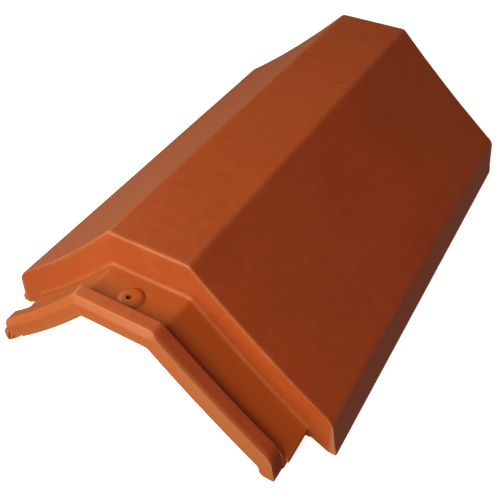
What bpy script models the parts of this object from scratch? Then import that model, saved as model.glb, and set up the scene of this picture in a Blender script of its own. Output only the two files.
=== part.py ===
"""Angular ridge tile of fired clay, a roof's ridge, hip or verge cap.

One hollow piece, open below and at both ends. Its section is a flat top, two slopes that sag a little, and two
upright lips with a bead along the bottom. At the front, past an upright riser, a narrower underlap steps down. It
carries a cross rib at its end and a nail boss behind the rib, and slips under the next tile's far end.

Metres, +Z up. +Y runs from the underlap to the far end. The origin is under the middle of the whole tile, on the
level of its feet.
"""
import math

import bmesh
import bpy

# Length
CAP_LENGTH = 0.335  # from the riser to the far end
UNDERLAP_LENGTH = 0.0385  # from the underlap's front face to the riser

# Outer section of the cap
HEIGHT = 0.1165
TOP_WIDTH = 0.0580  # between the arrises
EAVES_WIDTH = 0.2525  # where the slopes' foot would meet the lips, were it sharp
EAVES_HEIGHT = 0.0320
BASE_WIDTH = 0.2590
SLOPE_SAG = 0.0035  # how far a slope's middle lies below its chord
WALL = 0.012
ARRIS_RADIUS = 0.0055
EAVES_RADIUS = 0.0160
INNER_ARRIS_RADIUS = 0.004
INNER_EAVES_RADIUS = 0.007

# Feet
BEAD_HEIGHT = 0.009
BEAD_DEPTH = 0.0023
FOOT_WIDTH = 0.0045  # flat strip that the tile stands on
FOOT_BEVEL = 0.6  # rise over run of the bevel inside that strip

# Underlap
LAP_CLEARANCE = 0.0070  # above the rib, below the inside of the next tile
LAP_SIDE_CLEARANCE = 0.0090  # beside the underlap's lips, inside the next tile's
UNDERLAP_WALL = 0.011
UNDERLAP_LIFT = 0.0075  # its lips end this far above the feet
RIB_HEIGHT = 0.0078
RIB_LENGTH = 0.0105
RIB_EDGE_RADIUS = 0.004
FRONT_THICKNESS = 0.0145  # of the front face, from the rib's top down to the mouth
FRONT_LIP_THICKNESS = 0.0075
MOUTH_BEVEL_LENGTH = 0.003

# Edges of the cap
RISER_FILLET = 0.003
RISER_EDGE_RADIUS = 0.0025
SMALL_RADIUS = 0.001  # edges that are only just broken
FAR_EDGE_RADIUS = 0.0015

# Nail boss
BOSS_DIAMETER = 0.0176
BOSS_TOP_DIAMETER = 0.0120
BOSS_HEIGHT = 0.0028
BOSS_TO_RIB = 0.0002
BOSS_OFFSET = -0.0015  # it was pressed a little to one side
NAIL_HOLE = 0.0045

# Raw clay below the feet, which is trimmed off
SPARE = 0.002

# Steps along the curved stretches
ARC_STEPS = 4
SLOPE_STEPS = 6
BEAD_STEPS = 4
ROUND_STEPS = 3
BOSS_STEPS = 32

# Places along Y that the values above give
FRONT_Y = -(CAP_LENGTH + UNDERLAP_LENGTH) / 2
RISER_Y = FRONT_Y + UNDERLAP_LENGTH
FAR_Y = RISER_Y + CAP_LENGTH
RIB_REAR_Y = FRONT_Y + RIB_LENGTH
SLOPE_ANGLE = math.atan2(2 * (HEIGHT - EAVES_HEIGHT), EAVES_WIDTH - TOP_WIDTH)
LIP_LEAN = (BASE_WIDTH - EAVES_WIDTH) / 2 / EAVES_HEIGHT

# How far the underlap's top lies below the cap's
RIB_DROP = WALL + LAP_CLEARANCE
RECESS_DROP = RIB_DROP + RIB_HEIGHT
UNDERLAP_WIDTH = BASE_WIDTH - 2 * (WALL + LAP_SIDE_CLEARANCE)


def slope_height(x, lowered):
    """Height of the outer slope at x, lowered by a distance: a chord with an even sag."""
    share = (x - TOP_WIDTH / 2) / ((EAVES_WIDTH - TOP_WIDTH) / 2)
    return HEIGHT - share * (HEIGHT - EAVES_HEIGHT) - 4 * SLOPE_SAG * share * (1 - share) - lowered


def bisect(rule, low, high):
    """Where the rule, positive at low, passes through zero."""
    for _ in range(60):
        middle = (low + high) / 2
        if rule(middle) > 0:
            low = middle
        else:
            high = middle
    return low


def rounding(corner, before, after, radius):
    """Points of an arc that rounds a corner, between its tangents' directions before and after it."""
    turn = math.acos(max(-1, min(1, before[0] * after[0] + before[1] * after[1])))
    reach = radius * math.tan(turn / 2)
    start = (corner[0] - before[0] * reach, corner[1] - before[1] * reach)
    side = (before[1], -before[0])
    centre = (start[0] + side[0] * radius, start[1] + side[1] * radius)
    first = math.atan2(-side[1], -side[0])
    return [(centre[0] + radius * math.cos(first - turn * step / ARC_STEPS),
             centre[1] + radius * math.sin(first - turn * step / ARC_STEPS)) for step in range(ARC_STEPS + 1)]


def direction(start, end):
    """Unit vector from one point to another."""
    length = math.dist(start, end)
    return (end[0] - start[0]) / length, (end[1] - start[1]) / length


def half_section(drop, inset, base_width, lift, arris_radius, eaves_radius, bead):
    """Right half of a section from the top's middle down past the feet, as x and z.

    The cap's section is lowered by drop and drawn in by inset. Its lips are base_width apart at the feet's level. The
    bead swells them from lift upwards. Below that is spare clay.
    """
    top = HEIGHT - drop - inset
    lowered = drop + inset / math.cos(SLOPE_ANGLE)

    def lip(z):
        return base_width / 2 - inset - LIP_LEAN * z

    arris_x = bisect(lambda x: slope_height(x, lowered) - top, 0, EAVES_WIDTH / 2)
    eaves_x = bisect(lambda x: lip(slope_height(x, lowered)) - x, 0, BASE_WIDTH)
    arris = (arris_x, top)
    eaves = (eaves_x, slope_height(eaves_x, lowered))
    past = SMALL_RADIUS
    down = direction(arris, (arris_x + past, slope_height(arris_x + past, lowered)))
    foot_down = direction((eaves_x - past, slope_height(eaves_x - past, lowered)), eaves)
    lip_down = direction(eaves, (lip(0), 0))
    arris_arc = rounding(arris, (1, 0), down, arris_radius)
    eaves_arc = rounding(eaves, foot_down, lip_down, eaves_radius)

    points = [(0, top), (arris_arc[0][0] / 2, top)] + arris_arc
    for step in range(1, SLOPE_STEPS):
        x = arris_arc[-1][0] + (eaves_arc[0][0] - arris_arc[-1][0]) * step / SLOPE_STEPS
        points.append((x, slope_height(x, lowered)))
    points += eaves_arc
    bead_bottom = lift - SPARE / 2
    bead_top = min(bead_bottom + BEAD_HEIGHT, (bead_bottom + eaves_arc[-1][1]) / 2)
    for step in range(BEAD_STEPS + 1):
        share = 1 - step / BEAD_STEPS
        z = bead_bottom + (bead_top - bead_bottom) * share
        points.append((lip(z) + bead * math.sin(math.pi * share), z))
    points.append((lip(-SPARE), -SPARE))
    return points


def whole(half):
    """Full section from the left lip over the top to the right lip."""
    return [(-x, z) for x, z in reversed(half)] + half[1:]


def blend(first, second, share):
    """Section between two others, point by point."""
    return [(a[0] + (b[0] - a[0]) * share, a[1] + (b[1] - a[1]) * share) for a, b in zip(first, second)]


def outer(drop, base_width, lift):
    """An outer section, whose lips have their bead."""
    return whole(half_section(drop, 0, base_width, lift, ARRIS_RADIUS, EAVES_RADIUS, BEAD_DEPTH))


def inner(drop, inset, base_width):
    """An inner section, with as many points as an outer one."""
    return whole(half_section(drop, inset, base_width, 0, INNER_ARRIS_RADIUS, INNER_EAVES_RADIUS, 0))


def quarter(radius):
    """Steps of a quarter round as run and rise, from level to upright."""
    for step in range(ROUND_STEPS + 1):
        angle = math.pi / 2 * step / ROUND_STEPS
        yield radius * math.sin(angle), radius * (1 - math.cos(angle))


# Named sections
CAP = outer(0, BASE_WIDTH, 0)
RIB = outer(RIB_DROP, UNDERLAP_WIDTH, UNDERLAP_LIFT)
RECESS = outer(RECESS_DROP, UNDERLAP_WIDTH, UNDERLAP_LIFT)
CAP_INSIDE = inner(0, WALL, BASE_WIDTH)
UNDERLAP_INSIDE = inner(RECESS_DROP, UNDERLAP_WALL, UNDERLAP_WIDTH)
MOUTH = inner(RIB_DROP, FRONT_THICKNESS, UNDERLAP_WIDTH + 2 * (FRONT_THICKNESS - FRONT_LIP_THICKNESS))


def outer_stations():
    """Places along Y with the outer section there."""
    for run, rise in reversed(list(quarter(RIB_EDGE_RADIUS))):
        yield FRONT_Y + RIB_EDGE_RADIUS - run, blend(RIB, MOUTH, rise / FRONT_THICKNESS)
    for run, rise in quarter(SMALL_RADIUS):
        yield RIB_REAR_Y - SMALL_RADIUS + run, blend(RIB, RECESS, rise / RIB_HEIGHT)
    for run, rise in reversed(list(quarter(SMALL_RADIUS))):
        yield RIB_REAR_Y + SMALL_RADIUS - run, blend(RECESS, RIB, rise / RIB_HEIGHT)
    for run, rise in quarter(RISER_FILLET):
        yield RISER_Y - RISER_FILLET + run, blend(RECESS, CAP, rise / RECESS_DROP)
    for run, rise in reversed(list(quarter(RISER_EDGE_RADIUS))):
        yield RISER_Y + RISER_EDGE_RADIUS - run, blend(CAP, RECESS, rise / RECESS_DROP)
    for run, rise in quarter(FAR_EDGE_RADIUS):
        yield FAR_Y - FAR_EDGE_RADIUS + run, blend(CAP, CAP_INSIDE, rise / WALL)


def inner_stations():
    """Places along Y with the inner section there."""
    yield FRONT_Y, MOUTH
    yield FRONT_Y + MOUTH_BEVEL_LENGTH, UNDERLAP_INSIDE
    yield RISER_Y, UNDERLAP_INSIDE
    web_rear_y = RISER_Y + WALL
    for run, rise in quarter(SMALL_RADIUS):
        yield web_rear_y - SMALL_RADIUS + run, blend(UNDERLAP_INSIDE, CAP_INSIDE, rise / RECESS_DROP)
    for run, rise in reversed(list(quarter(INNER_ARRIS_RADIUS))):
        yield web_rear_y + INNER_ARRIS_RADIUS - run, blend(CAP_INSIDE, UNDERLAP_INSIDE, rise / RECESS_DROP)
    yield FAR_Y, CAP_INSIDE


def make_skin(mesh, stations):
    """Rows of vertices, one row to a station, joined by quads."""
    rows = [[mesh.verts.new((x, y, z)) for x, z in section] for y, section in stations]
    for row, following in zip(rows, rows[1:]):
        join_rows(mesh, row, following)
    return rows


def join_rows(mesh, row, following):
    """Quads between two rows with as many points each."""
    for a, b, c, d in zip(row, row[1:], following[1:], following):
        mesh.faces.new((a, b, c, d))


def clay():
    """Plain fired clay."""
    material = bpy.data.materials.new("fired_clay")
    material.use_nodes = True
    shader = material.node_tree.nodes["Principled BSDF"]
    shader.inputs["Base Color"].default_value = (0.40, 0.11, 0.035, 1)
    shader.inputs["Roughness"].default_value = 0.75
    shader.inputs["Metallic"].default_value = 0
    return material


def add_object(name, mesh, is_tool=False):
    """A new object from a bmesh. A tool only shapes another object."""
    bmesh.ops.recalc_face_normals(mesh, faces=mesh.faces)
    data = bpy.data.meshes.new(name)
    mesh.to_mesh(data)
    mesh.free()
    item = bpy.data.objects.new(name, data)
    bpy.context.collection.objects.link(item)
    if is_tool:
        item.hide_render = True
        item.display_type = "WIRE"
    return item


def add_boolean(item, tool, operation):
    """Unite with the tool or cut by it."""
    modifier = item.modifiers.new(tool.name, "BOOLEAN")
    modifier.operation = operation
    modifier.solver = "EXACT"
    modifier.object = tool


def make_shell():
    """The moulded shell, without its boss and with spare clay below its feet."""
    mesh = bmesh.new()
    outside = make_skin(mesh, outer_stations())
    inside = make_skin(mesh, inner_stations())
    for edge in (0, -1):
        mesh.faces.new([row[edge] for row in outside] + [row[edge] for row in reversed(inside)])
        join_rows(mesh, outside[edge], inside[edge])
    return add_object("tile_body", mesh)


def make_turned(name, x, y, rings):
    """A turned solid about an upright axis. Rings are radius and height, bottom to top."""
    mesh = bmesh.new()
    rows = []
    for radius, z in rings:
        angles = [2 * math.pi * step / BOSS_STEPS for step in range(BOSS_STEPS)]
        rows.append([mesh.verts.new((x + radius * math.cos(a), y + radius * math.sin(a), z)) for a in angles])
    for row, following in zip(rows, rows[1:]):
        join_rows(mesh, row + row[:1], following + following[:1])
    mesh.faces.new(rows[0])
    mesh.faces.new(rows[-1])
    return add_object(name, mesh, is_tool=True)


def make_bed():
    """The bed that trims the underside: level under the feet, with a raised middle whose sides bevel them."""
    foot_x = BASE_WIDTH / 2 - FOOT_WIDTH
    raised_x = foot_x - UNDERLAP_LIFT / FOOT_BEVEL
    half = [(raised_x, UNDERLAP_LIFT), (foot_x, 0), (BASE_WIDTH, 0), (BASE_WIDTH, -2 * SPARE)]
    outline = [(-x, z) for x, z in reversed(half)] + half
    mesh = bmesh.new()
    ends = [[mesh.verts.new((x, y, z)) for x, z in outline] for y in (FRONT_Y - WALL, FAR_Y + WALL)]
    join_rows(mesh, ends[0] + ends[0][:1], ends[1] + ends[1][:1])
    for end in ends:
        mesh.faces.new(end)
    return add_object("underside_cutter", mesh, is_tool=True)


for old in list(bpy.data.objects):
    bpy.data.objects.remove(old, do_unlink=True)

tile = make_shell()
recess_top = HEIGHT - RECESS_DROP
boss_y = RIB_REAR_Y + BOSS_TO_RIB + BOSS_DIAMETER / 2
boss = make_turned("boss_form", BOSS_OFFSET, boss_y, [
    (BOSS_DIAMETER / 2, recess_top - UNDERLAP_WALL / 2),
    (BOSS_DIAMETER / 2, recess_top + BOSS_HEIGHT / 4),
    (BOSS_TOP_DIAMETER / 2, recess_top + BOSS_HEIGHT)])
nail = make_turned("nail_hole_cutter", BOSS_OFFSET, boss_y, [
    (NAIL_HOLE / 2, recess_top - 2 * UNDERLAP_WALL),
    (NAIL_HOLE / 2, recess_top + 2 * BOSS_HEIGHT)])
add_boolean(tile, boss, "UNION")
add_boolean(tile, nail, "DIFFERENCE")
add_boolean(tile, make_bed(), "DIFFERENCE")
tile.data.materials.append(clay())
tile.data.shade_smooth()
tile.data.set_sharp_from_angle(angle=math.radians(32))
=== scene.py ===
import functools
import math

import bmesh
import bpy
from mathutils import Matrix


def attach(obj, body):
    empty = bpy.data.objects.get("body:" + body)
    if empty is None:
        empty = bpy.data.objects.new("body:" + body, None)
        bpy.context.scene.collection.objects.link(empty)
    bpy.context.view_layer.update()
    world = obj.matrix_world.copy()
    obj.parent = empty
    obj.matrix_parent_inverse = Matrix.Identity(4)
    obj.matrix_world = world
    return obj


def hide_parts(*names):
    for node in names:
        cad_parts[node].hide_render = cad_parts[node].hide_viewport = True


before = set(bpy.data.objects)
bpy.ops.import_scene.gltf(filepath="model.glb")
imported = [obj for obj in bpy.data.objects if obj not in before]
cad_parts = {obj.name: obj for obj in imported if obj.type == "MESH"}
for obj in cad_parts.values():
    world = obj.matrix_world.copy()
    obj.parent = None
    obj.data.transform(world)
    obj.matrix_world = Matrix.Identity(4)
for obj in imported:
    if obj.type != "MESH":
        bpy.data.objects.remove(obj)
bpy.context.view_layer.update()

# The outer and inner skins. A ridge tile is one slab of red clay pressed between two moulds, which give it a
# flat top, two slopes that sag a little in drying, and two upright lips with a roll along the foot. The same
# sections, lowered and drawn in, shape the narrower underlap that goes under the next tile.
HEIGHT = 0.1165
TOP_WIDTH = 0.0580
EAVES_WIDTH = 0.2525
EAVES_HEIGHT = 0.0320
BASE_WIDTH = 0.2590
RIGHT_BASE_WIDTH = 0.2618  # the right lip leans out
SLOPE_SAG = 0.0035
WALL = 0.012
ARRIS_RADIUS = 0.0055
EAVES_RADIUS = 0.0080
LEFT_EAVES_RADIUS = 0.0160  # the left eaves came out blunter
RISER_EAVES_RADIUS = 0.0170  # the mould is blunter at the riser's corners
RIB_EAVES_RADIUS = 0.0140
LEFT_RIB_EAVES_RADIUS = 0.0085
RECESS_EAVES_RADIUS = 0.0070
SHARP_EAVES_RADIUS = 0.0020  # at the recess's right edge
INNER_ARRIS_RADIUS = 0.004
INNER_EAVES_RADIUS = 0.007
ROLL_HEIGHT = 0.0095
ROLL_DEPTH = 0.0020
RIGHT_ROLL_DEPTH = 0.0004  # the right roll was pressed flat
LEFT_RIB_ROLL_HEIGHT = 0.0130  # the roll at the rib's left end bulges most
LEFT_RIB_ROLL_DEPTH = 0.0044
ROLL_FULLNESS = 0.9  # below 1 the roll is fuller than half a wave
ROLL_LIMIT = 0.75  # the most of a lip's height that its roll takes
SPARE = 0.002  # raw clay below the feet, cut off later
LAP_CLEARANCE = 0.0070
LAP_SIDE_CLEARANCE = 0.0090
UNDERLAP_WALL = 0.011
UNDERLAP_LIFT = 0.0075
RECESS_EDGE_X = 0.1126  # the recess's right edge, which was pressed out past the rib's end
RIB_HEIGHT = 0.0078
FRONT_THICKNESS = 0.0152
FRONT_LIP_THICKNESS = 0.0075
TOP_STEPS = 9
ARRIS_STEPS = 7
SLOPE_STEPS = 40
EAVES_STEPS = 10
LIP_STEPS = 4
ROLL_STEPS = 10
HALVINGS = 60  # of a stretch in which a crossing is looked for

RIB_DROP = WALL + LAP_CLEARANCE
RECESS_DROP = RIB_DROP + RIB_HEIGHT
UNDERLAP_WIDTH = BASE_WIDTH - 2 * (WALL + LAP_SIDE_CLEARANCE)
SLOPE_ANGLE = math.atan2(2 * (HEIGHT - EAVES_HEIGHT), EAVES_WIDTH - TOP_WIDTH)


def slope_height(x, lowered):
    """Height of the outer slope at x, lowered by a distance: a chord with an even sag."""
    share = (x - TOP_WIDTH / 2) / ((EAVES_WIDTH - TOP_WIDTH) / 2)
    return HEIGHT - share * (HEIGHT - EAVES_HEIGHT) - 4 * SLOPE_SAG * share * (1 - share) - lowered


def crossing(rule, low, high):
    """Where the rule, positive at low, passes through zero."""
    for _ in range(HALVINGS):
        middle = (low + high) / 2
        if rule(middle) > 0:
            low = middle
        else:
            high = middle
    return low


def direction(start, end):
    """Unit vector from one point to another."""
    length = math.dist(start, end)
    return (end[0] - start[0]) / length, (end[1] - start[1]) / length


def rounding(corner, before, after, radius, steps):
    """Points of an arc that rounds a corner, between its tangents' directions before and after it."""
    turn = math.acos(max(-1, min(1, before[0] * after[0] + before[1] * after[1])))
    reach = radius * math.tan(turn / 2)
    start = (corner[0] - before[0] * reach, corner[1] - before[1] * reach)
    side = (before[1], -before[0])
    centre = (start[0] + side[0] * radius, start[1] + side[1] * radius)
    first = math.atan2(-side[1], -side[0])
    angles = [first - turn * step / steps for step in range(steps + 1)]
    return [(centre[0] + radius * math.cos(angle), centre[1] + radius * math.sin(angle)) for angle in angles]


def half_section(drop, inset, base_width, lift, arris_radius, eaves_radius, roll_height, roll_depth):
    """Half of a skin's section from the top's middle to below the lip, as x and z.

    The cap's section is lowered by drop and drawn in by inset. The roll swells the lip from lift upwards.
    """
    top = HEIGHT - drop - inset
    lowered = drop + inset / math.cos(SLOPE_ANGLE)
    lean = (max(base_width, BASE_WIDTH) - EAVES_WIDTH) / 2 / EAVES_HEIGHT
    small = 0.001

    def lip(z):
        return base_width / 2 - inset - lean * z

    arris_x = crossing(lambda x: slope_height(x, lowered) - top, 0, EAVES_WIDTH / 2)
    eaves_x = crossing(lambda x: lip(slope_height(x, lowered)) - x, 0, BASE_WIDTH)
    arris = (arris_x, top)
    eaves = (eaves_x, slope_height(eaves_x, lowered))
    down = direction(arris, (arris_x + small, slope_height(arris_x + small, lowered)))
    foot_down = direction((eaves_x - small, slope_height(eaves_x - small, lowered)), eaves)
    arris_arc = rounding(arris, (1, 0), down, arris_radius, ARRIS_STEPS)
    eaves_arc = rounding(eaves, foot_down, direction(eaves, (lip(0), 0)), eaves_radius, EAVES_STEPS)

    half = [(arris_arc[0][0] * step / TOP_STEPS, top) for step in range(TOP_STEPS)] + arris_arc
    for step in range(1, SLOPE_STEPS):
        x = arris_arc[-1][0] + (eaves_arc[0][0] - arris_arc[-1][0]) * step / SLOPE_STEPS
        half.append((x, slope_height(x, lowered)))
    half += eaves_arc
    lip_top = eaves_arc[-1][1]
    roll_bottom = lift - SPARE / 2
    roll_top = roll_bottom + min(roll_height, ROLL_LIMIT * (lip_top - roll_bottom))
    for step in range(1, LIP_STEPS):
        z = lip_top + (roll_top - lip_top) * step / LIP_STEPS
        half.append((lip(z), z))
    for step in range(ROLL_STEPS + 1):
        share = 1 - step / ROLL_STEPS
        z = roll_bottom + (roll_top - roll_bottom) * share
        half.append((lip(z) + roll_depth * abs(math.sin(math.pi * share)) ** ROLL_FULLNESS, z))
    half.append((lip(-SPARE), -SPARE))
    return half


def outer_section(drop, base_widths, lift, eaves_radii, left_roll=(ROLL_HEIGHT, ROLL_DEPTH)):
    """An outer skin's section from the left lip over the top to the right lip, with its rolls."""
    rolls = (left_roll, (ROLL_HEIGHT, RIGHT_ROLL_DEPTH))
    left, right = (half_section(drop, 0, base_width, lift, ARRIS_RADIUS, eaves_radius, *roll)
                   for base_width, eaves_radius, roll in zip(base_widths, eaves_radii, rolls))
    return [(-x, z) for x, z in reversed(left)] + right[1:]


def inner_section(drop, inset, base_width):
    """An inner skin's section, with as many points as an outer one."""
    half = half_section(drop, inset, base_width, 0, INNER_ARRIS_RADIUS, INNER_EAVES_RADIUS, ROLL_HEIGHT, 0)
    return [(-x, z) for x, z in reversed(half)] + half[1:]


mouth_width = UNDERLAP_WIDTH + 2 * (FRONT_THICKNESS - FRONT_LIP_THICKNESS)
mould_sections = {
    "mouth": inner_section(RIB_DROP, FRONT_THICKNESS, mouth_width),
    "rib": outer_section(RIB_DROP, (UNDERLAP_WIDTH, UNDERLAP_WIDTH), UNDERLAP_LIFT,
                         (LEFT_RIB_EAVES_RADIUS, RIB_EAVES_RADIUS),
                         (LEFT_RIB_ROLL_HEIGHT, LEFT_RIB_ROLL_DEPTH)),
    "recess": outer_section(RECESS_DROP, (UNDERLAP_WIDTH, 2 * RECESS_EDGE_X), UNDERLAP_LIFT,
                            (RECESS_EAVES_RADIUS, SHARP_EAVES_RADIUS)),
    "riser": outer_section(0, (BASE_WIDTH, RIGHT_BASE_WIDTH), 0, (RISER_EAVES_RADIUS, RISER_EAVES_RADIUS)),
    "cap": outer_section(0, (BASE_WIDTH, RIGHT_BASE_WIDTH), 0, (LEFT_EAVES_RADIUS, EAVES_RADIUS)),
    "cap inside": inner_section(0, WALL, BASE_WIDTH),
    "underlap inside": inner_section(RECESS_DROP, UNDERLAP_WALL, UNDERLAP_WIDTH),
}
SECTION_NAMES = list(mould_sections)
SECTION_POINTS = len(mould_sections["cap"])


def form(name, mesh, attributes=()):
    """An object made of a mesh, with its number attributes, one value to a vertex."""
    data = bpy.data.meshes.new(name)
    mesh.to_mesh(data)
    mesh.free()
    for attribute, kind, values in attributes:
        data.attributes.new(attribute, kind, "POINT").data.foreach_set("value", values)
    item = bpy.data.objects.new(name, data)
    bpy.context.collection.objects.link(item)
    return item


mesh = bmesh.new()
for section in mould_sections.values():
    for x, z in section:
        mesh.verts.new((x, 0, z))
sections_form = form("section_points", mesh)

# The lengthwise profile at the middle of the top, along the outside to the far end and back along the inside.
# A rib crosses the front, a recess takes the next tile's edge, and a riser stops it. The edges are rounded by
# the mould, or just broken by a wet sponge.
CAP_LENGTH = 0.335
UNDERLAP_LENGTH = 0.0385
RIB_LENGTH = 0.0105
RIB_BEVEL_HEIGHT = 0.0060
RIB_BEVEL_LENGTH = 0.0024
RIB_BEVEL_RADIUS = 0.0016
RIB_FALL = 0.0007  # of the rib's top from its rear edge to its bevel
RIB_REAR_FLAT = 0.0005  # before the rib's rear edge
RISER_FOOT_RADIUS = 0.0022
RISER_EDGE_RADIUS = 0.0018
FAR_EDGE_RADIUS = 0.0015
SPONGED_RADIUS = 0.001
MOUTH_BEVEL_LENGTH = 0.003
BLUNT_LENGTH = 0.0100  # of the cap, past which its eaves are as sharp as elsewhere
FAR_RIM_LENGTH = 0.005
SEEN_ROWS = 0.0025  # between rows on what is seen
HIDDEN_ROWS = 0.0100
NO_ROWS = 1.0  # longer than any stretch
EDGE_RADII = {"sharp": 0, "sponged": SPONGED_RADIUS, "far edge": FAR_EDGE_RADIUS,
              "riser edge": RISER_EDGE_RADIUS, "riser foot": RISER_FOOT_RADIUS, "rib bevel": RIB_BEVEL_RADIUS,
              "inner corner": INNER_ARRIS_RADIUS}
EDGE_NAMES = list(EDGE_RADII)

FRONT_Y = -(CAP_LENGTH + UNDERLAP_LENGTH) / 2
RISER_Y = FRONT_Y + UNDERLAP_LENGTH
FAR_Y = RISER_Y + CAP_LENGTH
RIB_REAR_Y = FRONT_Y + RIB_LENGTH
WEB_REAR_Y = RISER_Y + WALL
FAR_RIM_Y = FAR_Y - FAR_RIM_LENGTH


def level(name):
    """Height of a section's top."""
    return mould_sections[name][SECTION_POINTS // 2][1]


# Place along the ridge, height, the sections that the height lies between, edge, and the rows after it
profile = [
    (FRONT_Y, level("rib") - RIB_BEVEL_HEIGHT, "mouth", "rib", "rib bevel", SEEN_ROWS),
    (FRONT_Y + RIB_BEVEL_LENGTH, level("rib") - RIB_FALL, "mouth", "rib", "rib bevel", SEEN_ROWS),
    (RIB_REAR_Y - RIB_REAR_FLAT, level("rib"), "mouth", "rib", "sharp", SEEN_ROWS),
    (RIB_REAR_Y, level("rib"), "recess", "rib", "sponged", SEEN_ROWS),
    (RIB_REAR_Y, level("recess"), "recess", "rib", "sponged", SEEN_ROWS),
    (RISER_Y, level("recess"), "recess", "riser", "riser foot", SEEN_ROWS),
    (RISER_Y, level("cap"), "recess", "riser", "riser edge", SEEN_ROWS),
    (RISER_Y + BLUNT_LENGTH / 2, level("cap"), "recess", "riser", "sharp", NO_ROWS),
    (RISER_Y + BLUNT_LENGTH, level("cap"), "cap inside", "cap", "sharp", SEEN_ROWS),
    (FAR_Y, level("cap"), "cap inside", "cap", "far edge", SEEN_ROWS),
    (FAR_Y, level("cap inside"), "cap inside", "cap", "sponged", HIDDEN_ROWS),
    (FAR_RIM_Y, level("cap inside"), "cap inside", "cap", "sharp", HIDDEN_ROWS),
    (FAR_RIM_Y, level("cap inside"), "underlap inside", "cap inside", "sharp", HIDDEN_ROWS),
    (WEB_REAR_Y, level("cap inside"), "underlap inside", "cap inside", "inner corner", HIDDEN_ROWS),
    (WEB_REAR_Y, level("underlap inside"), "underlap inside", "cap inside", "sponged", HIDDEN_ROWS),
    (FRONT_Y + MOUTH_BEVEL_LENGTH, level("underlap inside"), "underlap inside", "mouth", "sharp",
     HIDDEN_ROWS),
    (FRONT_Y, level("mouth"), "underlap inside", "mouth", "sharp", HIDDEN_ROWS),
    (FRONT_Y, level("mouth"), "mouth", "rib", "sharp", SEEN_ROWS),
]
mesh = bmesh.new()
corners = [mesh.verts.new((0, corner[0], corner[1])) for corner in profile]
for corner, following in zip(corners, corners[1:] + corners[:1]):
    mesh.edges.new((corner, following))
profile_form = form("length_profile", mesh, (
    ("below", "INT", [SECTION_NAMES.index(corner[2]) for corner in profile]),
    ("above", "INT", [SECTION_NAMES.index(corner[3]) for corner in profile]),
    ("edge", "INT", [EDGE_NAMES.index(corner[4]) for corner in profile]),
    ("row_spacing", "FLOAT", [corner[5] for corner in profile])))

# The nail boss is a low dome of clay pressed up behind the rib, with a hole for the nail that holds the tile
# to the ridge board. It was punched a little to the left of the middle.
BOSS_PLACE = (-0.0016, -0.1655)
BOSS_PROFILE = ((0.0083, -0.0030), (0.0083, 0.0000), (0.0079, 0.0004), (0.0073, 0.0010), (0.0066, 0.0015),
                (0.0057, 0.0018), (0.0046, 0.0020), (0.0034, 0.0021), (0.0018, 0.0021))
HOLE_PLACE = (-0.0021, -0.1669)
NAIL_HOLE = 0.0034
HOLE_PROFILE = ((0.0007, -0.0220), (0.0007, -0.0005), (0.0000, 0.0010), (0.0003, 0.0030))  # past its radius
BOSS_STEPS = 64


def turned(name, place, rings):
    """A turned solid about an upright axis. Rings are radius and height, bottom to top."""
    mesh = bmesh.new()
    rows = []
    for radius, z in rings:
        angles = [2 * math.pi * step / BOSS_STEPS for step in range(BOSS_STEPS)]
        rows.append([mesh.verts.new((place[0] + radius * math.cos(a), place[1] + radius * math.sin(a), z))
                     for a in angles])
    for row, following in zip(rows, rows[1:]):
        for a, b, c, d in zip(row, row[1:] + row[:1], following[1:] + following[:1], following):
            mesh.faces.new((a, b, c, d))
    mesh.faces.new(rows[0])
    mesh.faces.new(rows[-1])
    bmesh.ops.recalc_face_normals(mesh, faces=mesh.faces)
    return form(name, mesh)


recess_top = level("recess")
boss_form = turned("boss_form", BOSS_PLACE, [(radius, recess_top + z) for radius, z in BOSS_PROFILE])
nail_form = turned("nail_form", HOLE_PLACE, [
    (NAIL_HOLE / 2 + wider, recess_top + z) for wider, z in HOLE_PROFILE])

# The feet. The wet tile lies on a bed that cuts its lips level, with a bevel inside each foot. The underlap's
# lips end higher: a wire cut the left one at a slant and nicked it, and trimmed the right one behind the rib.
FOOT_WIDTH = 0.0045
FOOT_BEVEL = 0.6  # rise over run
SLANT = ((-0.1140, 0.0040), (-0.1069, 0.0070), (-0.1016, 0.0113), (-0.0961, 0.0161), (-0.0900, 0.0225),
         (-0.0850, 0.0225), (-0.0850, 0.0040))
OUTER_NICK = ((-0.1024, 0.0184), (-0.1036, 0.0184), (-0.1060, 0.0090), (-0.1048, 0.0090))
INNER_NICK = ((-0.0984, 0.0180), (-0.0994, 0.0180), (-0.1017, 0.0100), (-0.1006, 0.0100))
NICK_DEPTH = 0.0012
TRIM_BOTTOM = 0.0040
TRIM_SIDE = 0.1200
LIP_TRIM = (0.0950, 0.0950, 0.0143)  # inner side at the bottom and at the top, and the top
SIDE_TRIM = (0.1086, 0.1080, 0.0143)
RIB_END_TRIM = (0.1086, 0.1075, 0.0280)
LIP_TRIM_START = 0.0055  # behind the rib
SIDE_TRIM_REACH = 0.0015  # into the rib
RIB_END_TRIM_REACH = 0.0020  # into the rib, and out behind it
TRIM_GAP = 0.0005  # from the trims' ends to the riser


def trim(inner_bottom, inner_top, top):
    """Outline of a cut at the underlap's right side, as x and z."""
    return (inner_bottom, TRIM_BOTTOM), (TRIM_SIDE, TRIM_BOTTOM), (TRIM_SIDE, top), (inner_top, top)


def straight_cut(name, outline, front_y, rear_y):
    """A prism along the tile that a cut takes away, from its outline as x and z."""
    mesh = bmesh.new()
    ends = [[mesh.verts.new((x, y, z)) for x, z in outline] for y in (front_y, rear_y)]
    for a, b, c, d in zip(ends[0], ends[0][1:] + ends[0][:1], ends[1][1:] + ends[1][:1], ends[1]):
        mesh.faces.new((a, b, c, d))
    for end in ends:
        mesh.faces.new(end)
    bmesh.ops.recalc_face_normals(mesh, faces=mesh.faces)
    return form(name, mesh)


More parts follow.
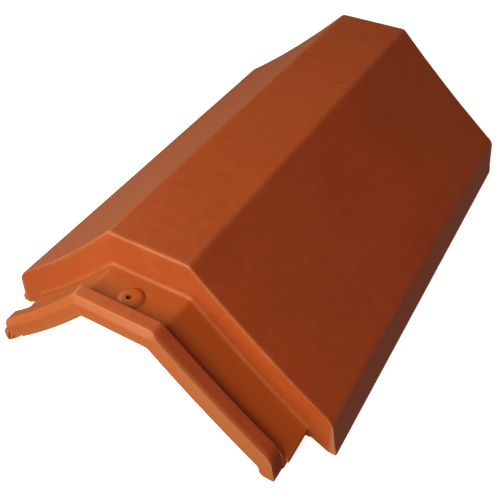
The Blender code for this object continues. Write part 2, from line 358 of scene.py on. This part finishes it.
foot_x = BASE_WIDTH / 2 - FOOT_WIDTH
raised_x = foot_x - UNDERLAP_LIFT / FOOT_BEVEL
bed_side = [(raised_x, UNDERLAP_LIFT), (foot_x, 0), (BASE_WIDTH, 0), (BASE_WIDTH, -2 * SPARE)]
trim_end = RISER_Y - TRIM_GAP
before_front = FRONT_Y - WALL
cutters = {}
for name, outline, start, end in (
        ("Bed", [(-x, z) for x, z in reversed(bed_side)] + bed_side, before_front, FAR_Y + WALL),
        ("Slant", SLANT, before_front, trim_end),
        ("Outer nick", OUTER_NICK, before_front, FRONT_Y + NICK_DEPTH),
        ("Inner nick", INNER_NICK, before_front, FRONT_Y + NICK_DEPTH),
        ("Lip trim", trim(*LIP_TRIM), RIB_REAR_Y + LIP_TRIM_START, trim_end),
        ("Side trim", trim(*SIDE_TRIM), RIB_REAR_Y - SIDE_TRIM_REACH, trim_end - TRIM_GAP),
        ("Rib's end trim", trim(*RIB_END_TRIM), RIB_REAR_Y - RIB_END_TRIM_REACH,
         RIB_REAR_Y + RIB_END_TRIM_REACH)):
    cutters[name] = straight_cut(name, outline, start, end)
cutters["Nail punch"] = nail_form

# The fired clay. Natural red clay, unglazed and fired once, is matt and fine-grained: a warm orange red
# with a soft cloudiness from the kiln, a faint speckle of grit, and paler edges where mould and hands
# rubbed them. That paleness is partly painted highlight, laid into concave creases too, such as the riser's
# foot. The lighter recess, the paler lips and the pale tint on the rib's bevel are painted light as well.
CLAY = "#974116"
CLAY_DEEP = "#8F3C14"
CLAY_PALE = "#9D461B"
# Partly paler worn edges, partly painted highlight: the same tint goes into concave creases such as the
# riser's foot
CLAY_EDGE_WEAR_AND_HIGHLIGHT = "#96582F"
CLAY_RECESS_BOUNCE_LIGHT = "#A04E18"  # painted light: the recess is coloured lighter, standing in for light bounced off the riser
CLAY_GRAZING_SHEEN = "#9E614A"  # painted sheen: a paler, greyer colour on the lips, and a little on the slope left of the top, for their grazing reflection
CLAY_FRONT_TINT_AND_BEVEL_HIGHLIGHT = "#98532E"  # on the rib's front face and its bevel, stronger to the right; on the bevel it is painted highlight
GRIT_DARK = "#7A3414"
CLOUD_WIDTH = 0.070
MOTTLE_WIDTH = 0.009
GRAIN_WIDTH = 0.0016  # real grit is about 0.3 mm, drawn coarser so that it shows
GRAIN_DEPTH = 0.0003
RIPPLE_WIDTH = 0.014
RIPPLE_DEPTH = 0.0006
TINT_FADE = 0.0010  # over which a tint ends along the ridge
SHEEN_ABOVE_EAVES = 0.0020
SHEEN_BELOW_EAVES = 0.0010


def linear(hex_colour):
    """An sRGB hex colour as linear red, green, blue and alpha."""
    values = [int(hex_colour[i:i + 2], 16) / 255 for i in (1, 3, 5)]
    return tuple(v / 12.92 if v <= 0.04045 else ((v + 0.055) / 1.055) ** 2.4 for v in values) + (1,)


def add_node(tree, kind, sockets=None, **settings):
    """A node with its settings. A socket gets a value, an output, a node's first output or a list of them."""
    made = tree.nodes.new(kind)
    for name, value in settings.items():
        setattr(made, name, value)
    for key, values in (sockets or {}).items():
        for value in values if isinstance(values, list) else [values]:
            if isinstance(value, bpy.types.Node):
                value = value.outputs[0]
            if isinstance(value, bpy.types.NodeSocket):
                tree.links.new(value, made.inputs[key])
            else:
                made.inputs[key].default_value = value
    return made


def red_clay():
    """Natural red clay, pressed and fired."""
    material = bpy.data.materials.new("fired_red_clay")
    material.use_nodes = True
    tree = material.node_tree
    tree.nodes.clear()
    add = functools.partial(add_node, tree)
    place = add("ShaderNodeTexCoord").outputs["Object"]
    along = add("ShaderNodeSeparateXYZ", {0: place}).outputs
    aside = add("ShaderNodeMath", {0: along["X"]}, operation="ABSOLUTE")
    patterns = {}
    for name, width, detail, coarseness in (
            ("cloud", CLOUD_WIDTH, 3, 0.5), ("mottle", MOTTLE_WIDTH, 3, 0.6), ("grain", GRAIN_WIDTH, 2, 0.7),
            ("rubbed", MOTTLE_WIDTH, 2, 0.5), ("ripple", RIPPLE_WIDTH, 2, 0.5)):
        patterns[name] = add("ShaderNodeTexNoise", {
            "Vector": place, "Scale": 1 / width, "Detail": detail, "Roughness": coarseness})

    # What each share follows, between which two values, and how much it is at both
    bevel_y = FRONT_Y + RIB_BEVEL_LENGTH
    eaves_x = EAVES_WIDTH / 2
    arris_x = TOP_WIDTH / 2
    # Paleness where the surface turns sharply, convex or concave: wear on the edges, and painted highlight in
    # the concave creases
    shares = {"wear": add("ShaderNodeAttribute", attribute_name="edge_wear").outputs["Fac"]}
    for name, followed, low, high, at_low, at_high in (
            ("cloud", patterns["cloud"], 0.35, 0.65, 0, 1),
            ("mottle", patterns["mottle"], 0.40, 0.75, 0, 0.6),
            ("grit", patterns["grain"], 0.30, 0.42, 0.55, 0),
            ("rubbed", patterns["rubbed"], 0.3, 0.6, 0.35, 0.75),
            # The recess, between the rib's rear and the riser, is painted lighter: painted bounce light
            ("behind rib", along["Y"], RIB_REAR_Y, RIB_REAR_Y + TINT_FADE, 0, 1),
            ("before riser", along["Y"], RISER_Y - TINT_FADE, RISER_Y, 0.85, 0),
            # Painted sheen on the lips, and a little on the slope left of the top
            ("sheen on lips", aside, eaves_x - SHEEN_ABOVE_EAVES, eaves_x + SHEEN_BELOW_EAVES, 0, 0.8),
            ("left of top", along["X"], -arris_x - ARRIS_RADIUS, -arris_x, 0.2, 0),
            ("past riser", along["Y"], RISER_Y, RISER_Y + TINT_FADE, 0, 1),
            # The rib's front face and bevel take a paler tint, which on the bevel is painted highlight
            ("at front", along["Y"], bevel_y, bevel_y + TINT_FADE, 1, 0),
            ("right of top", along["X"], -arris_x, TOP_WIDTH, 0.4, 1),
            ("roughness", patterns["cloud"], 0.35, 0.65, 0.48, 0.52)):
        shares[name] = add("ShaderNodeMapRange", {
            "Value": followed, "From Min": low, "From Max": high, "To Min": at_low, "To Max": at_high})
    for name, first, second in (
            ("worn and highlit", "wear", "rubbed"), ("recess bounce light", "behind rib", "before riser"),
            ("sheen on left slope", "left of top", "past riser"), ("front tint and bevel highlight", "at front", "right of top")):
        shares[name] = add("ShaderNodeMath", {0: shares[first], 1: shares[second]}, operation="MULTIPLY")

    colour = linear(CLAY)
    for name, tint in (
            ("cloud", CLAY_DEEP), ("mottle", CLAY_PALE), ("grit", GRIT_DARK), ("worn and highlit", CLAY_EDGE_WEAR_AND_HIGHLIGHT),
            ("recess bounce light", CLAY_RECESS_BOUNCE_LIGHT), ("sheen on lips", CLAY_GRAZING_SHEEN), ("sheen on left slope", CLAY_GRAZING_SHEEN),
            ("front tint and bevel highlight", CLAY_FRONT_TINT_AND_BEVEL_HIGHLIGHT)):
        mixed = add("ShaderNodeMix", {0: shares[name], 6: colour, 7: linear(tint)}, data_type="RGBA")
        colour = mixed.outputs[2]
    ripple = add("ShaderNodeBump", {
        "Height": patterns["ripple"], "Distance": RIPPLE_DEPTH, "Strength": 0.25})
    grain = add("ShaderNodeBump", {
        "Height": patterns["grain"], "Distance": GRAIN_DEPTH, "Strength": 0.35, "Normal": ripple})
    shader = add("ShaderNodeBsdfPrincipled", {
        "Base Color": colour, "Roughness": shares["roughness"], "IOR": 1.5, "Metallic": 0, "Normal": grain,
        "Specular IOR Level": 0.34})
    add("ShaderNodeOutputMaterial", {"Surface": shader})
    return material


# The whole tile, as it comes out of the moulds: the skins follow the profile, the hand leaves them a little
# uneven, the boss is pressed on, and the bed, the wire and the nail punch cut it. It is one piece of clay.
EDGE_STEPS = 5
LIP_ROUNDING = 0.3  # how much of an upper edge's rounding is left at the lips
LIP_ROUNDING_START = 0.080  # from the middle, where it starts to lessen
LIP_ROUNDING_END = 0.104
LIP_ROUNDING_LOW = 0.5  # the share of a rise's height where it starts to lessen
LIP_ROUNDING_HIGH = 0.85
BEVEL_SHORTENED = 0.0020  # the rib's bevel is shorter by this on the right slope
BEVEL_CHANGE_START = -0.003  # beside the top's right edge, where that begins
BEVEL_CHANGE_END = 0.004
SAG_EASED = 0.0015  # the right slope sags less by this at the far end
LEFT_RISE_AT_RISER = -0.0016  # how much higher the left eaves lie
LEFT_RISE_AT_FAR_END = 0.0012
UNEVEN_DEPTH = 0.0003
UNEVEN_WIDTH = 0.080
DIMPLE_DEPTH = 0.00008
DIMPLE_WIDTH = 0.012
EVEN_FOOT = 0.006  # the height over which the unevenness grows from nothing
# How sharply the surface turns where the paleness of edge wear and painted highlight starts and is full
LEAST_WEAR_AND_HIGHLIGHT_TURN = 0.02  # radians from face to face
MOST_WEAR_AND_HIGHLIGHT_TURN = 0.20
SHARP_TURN = math.radians(38)
SAME_PLACE = 1e-5
SEED = 7


def rounded_profile(add, given, position):
    """The lengthwise profile, with its corners rounded and rows added along its stretches.

    Here and below, add makes a node in the tile's tree, and given holds that tree's inputs.
    """
    radius = add("GeometryNodeIndexSwitch", data_type="FLOAT")
    while len(radius.index_switch_items) < len(EDGE_NAMES):
        radius.index_switch_items.new()
    edge = add("GeometryNodeInputNamedAttribute", {"Name": "edge"}, data_type="INT")
    links = radius.id_data.links
    links.new(edge.outputs[0], radius.inputs[0])
    for number, name in enumerate(EDGE_NAMES, start=1):
        links.new(given[name], radius.inputs[number])
    corners = add("GeometryNodeObjectInfo", {"Object": given["Length profile"]}).outputs["Geometry"]
    curve = add("GeometryNodeMeshToCurve", {"Mesh": corners})
    curve = add("GeometryNodeFilletCurve", {
        "Curve": curve, "Count": given["Edge steps"], "Radius": radius, "Limit Radius": True}, mode="POLY")
    following = add("GeometryNodeOffsetPointInCurve", {"Offset": 1}).outputs["Point Index"]
    following = add("GeometryNodeFieldAtIndex", {"Index": following, "Value": position},
                    data_type="FLOAT_VECTOR")
    length = add("ShaderNodeVectorMath", {0: position, 1: following}, operation="DISTANCE").outputs["Value"]
    spacing = add("GeometryNodeInputNamedAttribute", {"Name": "row_spacing"}, data_type="FLOAT")
    cuts = add("ShaderNodeMath", {0: length, 1: spacing}, operation="DIVIDE")
    cuts = add("ShaderNodeMath", {0: cuts}, operation="FLOOR")
    return add("GeometryNodeSubdivideCurve", {"Curve": curve, "Cuts": cuts})


def lofted_skin(add, given, position, curve):
    """The skin: a grid with a row to each point of the profile and a column to each point of a section."""
    columns = given["Columns"]
    rows = add("GeometryNodeAttributeDomainSize", {"Geometry": curve}, component="CURVE")
    rows = rows.outputs["Point Count"]
    rows_and_first = add("ShaderNodeMath", {0: rows, 1: 1.0}, operation="ADD")
    grid = add("GeometryNodeMeshGrid", {"Vertices X": rows_and_first, "Vertices Y": columns})
    index = add("GeometryNodeInputIndex")
    column = add("ShaderNodeMath", {0: index, 1: columns}, operation="MODULO")
    row = index
    for operation, number in (("ADD", 0.5), ("DIVIDE", columns), ("FLOOR", 0.0), ("MODULO", rows)):
        row = add("ShaderNodeMath", {0: row, 1: number}, operation=operation)

    # Each vertex lies between two sections, at the share of their height that the profile has
    along = add("GeometryNodeSampleIndex", {"Geometry": curve, "Value": position, "Index": row},
                data_type="FLOAT_VECTOR")
    along = add("ShaderNodeSeparateXYZ", {0: along}).outputs
    sections = add("GeometryNodeObjectInfo", {"Object": given["Section points"]}).outputs["Geometry"]
    below, above = {}, {}
    for side, points in (("below", below), ("above", above)):
        section = add("GeometryNodeInputNamedAttribute", {"Name": side}, data_type="INT")
        section = add("GeometryNodeSampleIndex", {
            "Geometry": curve, "Value": section, "Index": row}, data_type="INT")
        for name, number in (("here", column), ("top", given["Middle column"])):
            where = add("ShaderNodeMath", {0: section, 1: columns, 2: number}, operation="MULTIPLY_ADD")
            point = add("GeometryNodeSampleIndex", {
                "Geometry": sections, "Value": position, "Index": where}, data_type="FLOAT_VECTOR")
            points[name] = add("ShaderNodeSeparateXYZ", {0: point}).outputs
    share = add("ShaderNodeMapRange", {
        "Value": along["Z"], "From Min": below["top"]["Z"], "From Max": above["top"]["Z"]}, clamp=False)

    # Near the lips the last bit of an upward rounding is drawn out less
    aside = add("ShaderNodeMath", {0: above["here"]["X"]}, operation="ABSOLUTE")
    to_lip = add("ShaderNodeMapRange", {
        "Value": aside, "From Min": given["Lip rounding start"], "From Max": given["Lip rounding end"],
        "To Min": 1.0, "To Max": given["Lip rounding"]}, interpolation_type="SMOOTHSTEP")
    short_of_top = add("ShaderNodeMath", {0: share, 1: 1.0}, operation="SUBTRACT")
    sharper = add("ShaderNodeMath", {0: short_of_top, 1: to_lip, 2: 1.0}, operation="MULTIPLY_ADD")
    near_top = add("ShaderNodeMapRange", {
        "Value": share, "From Min": given["Lip rounding low"], "From Max": given["Lip rounding high"]},
        interpolation_type="SMOOTHSTEP")
    share = add("ShaderNodeMix", {0: near_top, 2: share, 3: sharper})
    x, z = (add("ShaderNodeMix", {0: share, 2: below["here"][axis], 3: above["here"][axis]},
                clamp_factor=False) for axis in ("X", "Z"))

    # How far along or across a stretch each vertex is, from 0 to 1
    way = {}
    for name, value, start, end in (
            ("to far end", along["Y"], given["Riser"], given["Far end"]),
            ("past riser's foot", along["Y"], given["Riser's foot"], given["Riser"]),
            ("up bevel", along["Y"], given["Front"], given["Bevel's end"]),
            ("before rib's rear", along["Y"], given["Rib's rear"], given["Bevel's end"]),
            ("from slope start", x, given["Slope start"], given["Right eaves"]),
            ("to slope start", x, given["Right eaves"], given["Slope start"]),
            ("to left eaves", x, 0.0, given["Left eaves"]),
            ("above foot", z, 0.0, given["Eaves height"]),
            ("below top", z, given["Height"], given["Eaves height"])):
        way[name] = add("ShaderNodeMapRange", {"Value": value, "From Min": start, "From Max": end})
    on_right = add("ShaderNodeMapRange", {
        "Value": above["here"]["X"], "From Min": given["Bevel change start"],
        "From Max": given["Bevel change end"]}, interpolation_type="SMOOTHSTEP")

    # The right slope sags less towards the far end, the left eaves rise towards it, and the rib's bevel is
    # shorter on the right slope
    left_rise = add("ShaderNodeMapRange", {
        "Value": way["to far end"], "To Min": given["Left rise at riser"],
        "To Max": given["Left rise at far end"]})
    moves = {}
    for name, move, parts in (
            ("sag eased", given["Sag eased"],
             (4.0, way["from slope start"], way["to slope start"], way["above foot"], way["to far end"])),
            ("left rise", left_rise,
             (way["past riser's foot"], way["above foot"], way["below top"], way["to left eaves"])),
            ("bevel shortened", given["Bevel shortened"],
             (way["up bevel"], way["before rib's rear"], on_right))):
        for part in parts:
            move = add("ShaderNodeMath", {0: move, 1: part}, operation="MULTIPLY")
        moves[name] = move
    y = add("ShaderNodeMath", {0: along["Y"], 1: moves["bevel shortened"]}, operation="SUBTRACT")
    for name in ("sag eased", "left rise"):
        z = add("ShaderNodeMath", {0: z, 1: moves[name]}, operation="ADD")
    place = add("ShaderNodeCombineXYZ", {"X": x, "Y": y, "Z": z})
    skin = add("GeometryNodeSetPosition", {"Geometry": grid.outputs["Mesh"], "Position": place})
    skin = add("GeometryNodeMergeByDistance", {"Geometry": skin, "Distance": SAME_PLACE})
    return add("GeometryNodeFlipFaces", {"Mesh": skin})


def uneven_skin(add, given, position, skin):
    """The hand's unevenness, which only takes clay away and leaves the feet's raw clay as it is."""
    height = add("ShaderNodeSeparateXYZ", {0: position}).outputs["Z"]
    taken = 0.0
    for depth, width, detail in (("Unevenness", "Unevenness width", 1.0), ("Dimples", "Dimple width", 2.0)):
        scale = add("ShaderNodeMath", {0: 1.0, 1: given[width]}, operation="DIVIDE")
        noise = add("ShaderNodeTexNoise", {
            "Vector": position, "W": given["Seed"], "Scale": scale, "Detail": detail}, noise_dimensions="4D")
        taken = add("ShaderNodeMath", {0: noise, 1: given[depth], 2: taken}, operation="MULTIPLY_ADD")
    inward = add("ShaderNodeMapRange", {
        "Value": height, "From Min": 0.0, "From Max": given["Even foot"], "To Min": 0.0, "To Max": -1.0})
    inward = add("ShaderNodeMath", {0: inward, 1: taken}, operation="MULTIPLY")
    offset = add("ShaderNodeVectorMath", {0: add("GeometryNodeInputNormal"), "Scale": inward},
                 operation="SCALE")
    return add("GeometryNodeSetPosition", {"Geometry": skin, "Offset": offset})


def closed_ends(add, given, skin):
    """The skin with its lips' raw ends closed."""
    neighbours = add("GeometryNodeInputMeshEdgeNeighbors")
    open_edge = add("FunctionNodeCompare", {2: neighbours, 3: 1}, data_type="INT", operation="EQUAL")
    ends = add("GeometryNodeMeshToCurve", {"Mesh": skin, "Selection": open_edge})
    ends = add("GeometryNodeFillCurve", {"Curve": ends}, mode="TRIANGLES")
    bottom = add("ShaderNodeMath", {0: 0.0, 1: given["Spare clay"]}, operation="SUBTRACT")
    ends = add("GeometryNodeSetPosition", {
        "Geometry": ends, "Offset": add("ShaderNodeCombineXYZ", {"Z": bottom})})
    ends = add("GeometryNodeFlipFaces", {"Mesh": ends})
    raw = add("GeometryNodeJoinGeometry", {"Geometry": [skin, ends]})
    return add("GeometryNodeMergeByDistance", {"Geometry": raw, "Distance": SAME_PLACE})


def cut_tile(add, given, raw):
    """The tile with its boss pressed on, and the bed, the wire's cuts and the nail punch taken off."""
    boss = add("GeometryNodeObjectInfo", {"Object": given["Boss"]}).outputs["Geometry"]
    tile = add("GeometryNodeMeshBoolean", {"Mesh 2": [raw, boss]}, operation="UNION", solver="MANIFOLD")
    cuts = [add("GeometryNodeObjectInfo", {"Object": given[name]}).outputs["Geometry"] for name in cutters]
    return add("GeometryNodeMeshBoolean", {"Mesh 1": tile, "Mesh 2": cuts}, operation="DIFFERENCE",
               solver="MANIFOLD")


def worn_and_highlit_tile(add, given, tile):
    """The tile with its edge paleness kept as an attribute: how sharply its surface turns, convex or concave,
    spread a little. It is partly edge wear and partly painted highlight.
    """
    turn = add("GeometryNodeInputMeshEdgeAngle").outputs["Unsigned Angle"]
    turn = add("GeometryNodeFieldOnDomain", {"Value": turn}, data_type="FLOAT", domain="EDGE")
    turn = add("GeometryNodeBlurAttribute", {"Value": turn, "Iterations": 2}, data_type="FLOAT")
    wear = add("ShaderNodeMapRange", {
        "Value": turn, "From Min": given["Least worn turn"], "From Max": given["Most worn turn"]})
    return add("GeometryNodeStoreNamedAttribute", {"Geometry": tile, "Name": "edge_wear", "Value": wear},
               data_type="FLOAT", domain="POINT")


def tile_tree(inputs):
    """The tree that makes the tile. Inputs are name, socket type and value. Gives it and its socket names."""
    tree = bpy.data.node_groups.new("ridge_tile_form", "GeometryNodeTree")
    identifiers = {}
    for name, kind, _ in inputs:
        identifiers[name] = tree.interface.new_socket(name, in_out="INPUT", socket_type=kind).identifier
    tree.interface.new_socket("Tile", in_out="OUTPUT", socket_type="NodeSocketGeometry")
    add = functools.partial(add_node, tree)
    given = add("NodeGroupInput").outputs
    position = add("GeometryNodeInputPosition")
    curve = rounded_profile(add, given, position)
    skin = lofted_skin(add, given, position, curve)
    raw = closed_ends(add, given, uneven_skin(add, given, position, skin))
    tile = worn_and_highlit_tile(add, given, cut_tile(add, given, raw))
    tile = add("GeometryNodeSetShadeSmooth", {"Geometry": tile})
    tile = add("GeometryNodeRealizeInstances", {"Geometry": tile})
    tile = add("GeometryNodeSetMaterial", {"Geometry": tile, "Material": given["Clay"]})
    add("NodeGroupOutput", {"Tile": tile})
    return tree, identifiers


forms = {"Length profile": profile_form, "Section points": sections_form, "Boss": boss_form, **cutters}
counts = {"Columns": SECTION_POINTS, "Middle column": SECTION_POINTS // 2, "Edge steps": EDGE_STEPS}
sizes = {
    "Front": FRONT_Y, "Bevel's end": FRONT_Y + RIB_BEVEL_LENGTH, "Rib's rear": RIB_REAR_Y,
    "Riser's foot": RISER_Y - RISER_FOOT_RADIUS, "Riser": RISER_Y, "Far end": FAR_Y,
    "Height": HEIGHT, "Eaves height": EAVES_HEIGHT, "Left eaves": -EAVES_WIDTH / 2,
    "Slope start": TOP_WIDTH / 2, "Right eaves": EAVES_WIDTH / 2,
    "Lip rounding": LIP_ROUNDING, "Lip rounding start": LIP_ROUNDING_START,
    "Lip rounding end": LIP_ROUNDING_END, "Lip rounding low": LIP_ROUNDING_LOW,
    "Lip rounding high": LIP_ROUNDING_HIGH, "Bevel shortened": BEVEL_SHORTENED,
    "Bevel change start": TOP_WIDTH / 2 + BEVEL_CHANGE_START,
    "Bevel change end": TOP_WIDTH / 2 + BEVEL_CHANGE_END,
    "Sag eased": SAG_EASED, "Left rise at riser": LEFT_RISE_AT_RISER,
    "Left rise at far end": LEFT_RISE_AT_FAR_END,
    "Unevenness": UNEVEN_DEPTH, "Unevenness width": UNEVEN_WIDTH, "Dimples": DIMPLE_DEPTH,
    "Dimple width": DIMPLE_WIDTH, "Even foot": EVEN_FOOT, "Seed": SEED, "Spare clay": SPARE,
    "Least worn turn": LEAST_WEAR_AND_HIGHLIGHT_TURN, "Most worn turn": MOST_WEAR_AND_HIGHLIGHT_TURN, **EDGE_RADII,
}
inputs = []
for kind, values in (("NodeSocketObject", forms), ("NodeSocketMaterial", {"Clay": red_clay()}),
                     ("NodeSocketInt", counts), ("NodeSocketFloat", sizes)):
    inputs += [(name, kind, value) for name, value in values.items()]
tree, identifiers = tile_tree(inputs)
tile = form("ridge_tile", bmesh.new())
modifier = tile.modifiers.new("form", "NODES")
modifier.node_group = tree
for name, _, value in inputs:
    modifier[identifiers[name]] = value
shaped = bpy.data.meshes.new_from_object(tile.evaluated_get(bpy.context.evaluated_depsgraph_get()))
tile.modifiers.remove(modifier)
tile.data = shaped
shaped.name = "ridge_tile"
shaped.set_sharp_from_angle(angle=SHARP_TURN)
for item in forms.values():
    bpy.data.objects.remove(item, do_unlink=True)

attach(tile, "root")
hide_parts("tile_body")

# The studio: a plain white paper floor without an edge in sight, which glows a little so that no shade shows
# on it, a warm dim light all round, and three soft lamps.
FLOOR_SIZE = 6
PAPER = "#F4F3F1"
PAPER_GLOW = "#F7FEFF"
ROOM_LIGHT = "#FFC8AE"

mesh = bmesh.new()
bmesh.ops.create_grid(mesh, x_segments=1, y_segments=1, size=FLOOR_SIZE)
floor = form("floor", mesh)
paper = bpy.data.materials.new("white_paper")
paper.use_nodes = True
paper_sockets = paper.node_tree.nodes["Principled BSDF"].inputs
paper_sockets["Base Color"].default_value = linear(PAPER)
paper_sockets["Roughness"].default_value = 0.9
paper_sockets["Emission Color"].default_value = linear(PAPER_GLOW)
paper_sockets["Emission Strength"].default_value = 0.75
floor.data.materials.append(paper)
# The photo's tile was cut out onto white, so no white floor lit it or showed in its gloss
floor.visible_diffuse = False
floor.visible_glossy = False

world = bpy.data.worlds.new("studio")
world.use_nodes = True
room_sockets = world.node_tree.nodes["Background"].inputs
room_sockets["Color"].default_value = linear(ROOM_LIGHT)
room_sockets["Strength"].default_value = 0.26
bpy.context.scene.world = world

# Name, turn from the front and rise in degrees, distance and width in metres, power in watts, colour
for name, turn, rise, distance, width, power, colour in (
        ("front_low_lamp", -12, 18, 1.0, 0.4, 7.2, "#EAFFDA"),
        ("front_lamp", 0, 40, 1.0, 0.5, 8.7, "#FFEEEC"),
        ("left_lamp", -90, 30, 1.2, 0.5, 7.4, "#E2FFD4")):
    turn, rise = math.radians(turn), math.radians(rise)
    lamp = bpy.data.lights.new(name, "AREA")
    lamp.size = width
    lamp.energy = power
    lamp.color = linear(colour)[:3]
    lamp_object = bpy.data.objects.new(name, lamp)
    bpy.context.collection.objects.link(lamp_object)
    lamp_object.location = (distance * math.sin(turn) * math.cos(rise),
                            -distance * math.cos(turn) * math.cos(rise), distance * math.sin(rise))
    lamp_object.rotation_euler = (math.pi / 2 - rise, 0, turn)
bpy.context.scene.view_settings.view_transform = "Standard"

# The camera stands to the right of the front and looks down on the tile. Its place and lens were fitted to
# the tile's edges in the photo.
CAMERA_PLACE = (0.19487, -0.36069, 0.38683)
CAMERA_TURN = (46.0412, 0.2303, 30.3183)  # degrees

camera = bpy.data.cameras.new("camera")
camera.lens = 48.86
camera.sensor_width = 36
camera.clip_start = 0.01
camera_object = bpy.data.objects.new("camera", camera)
bpy.context.collection.objects.link(camera_object)
camera_object.location = CAMERA_PLACE
camera_object.rotation_euler = [math.radians(angle) for angle in CAMERA_TURN]
bpy.context.scene.camera = camera_object
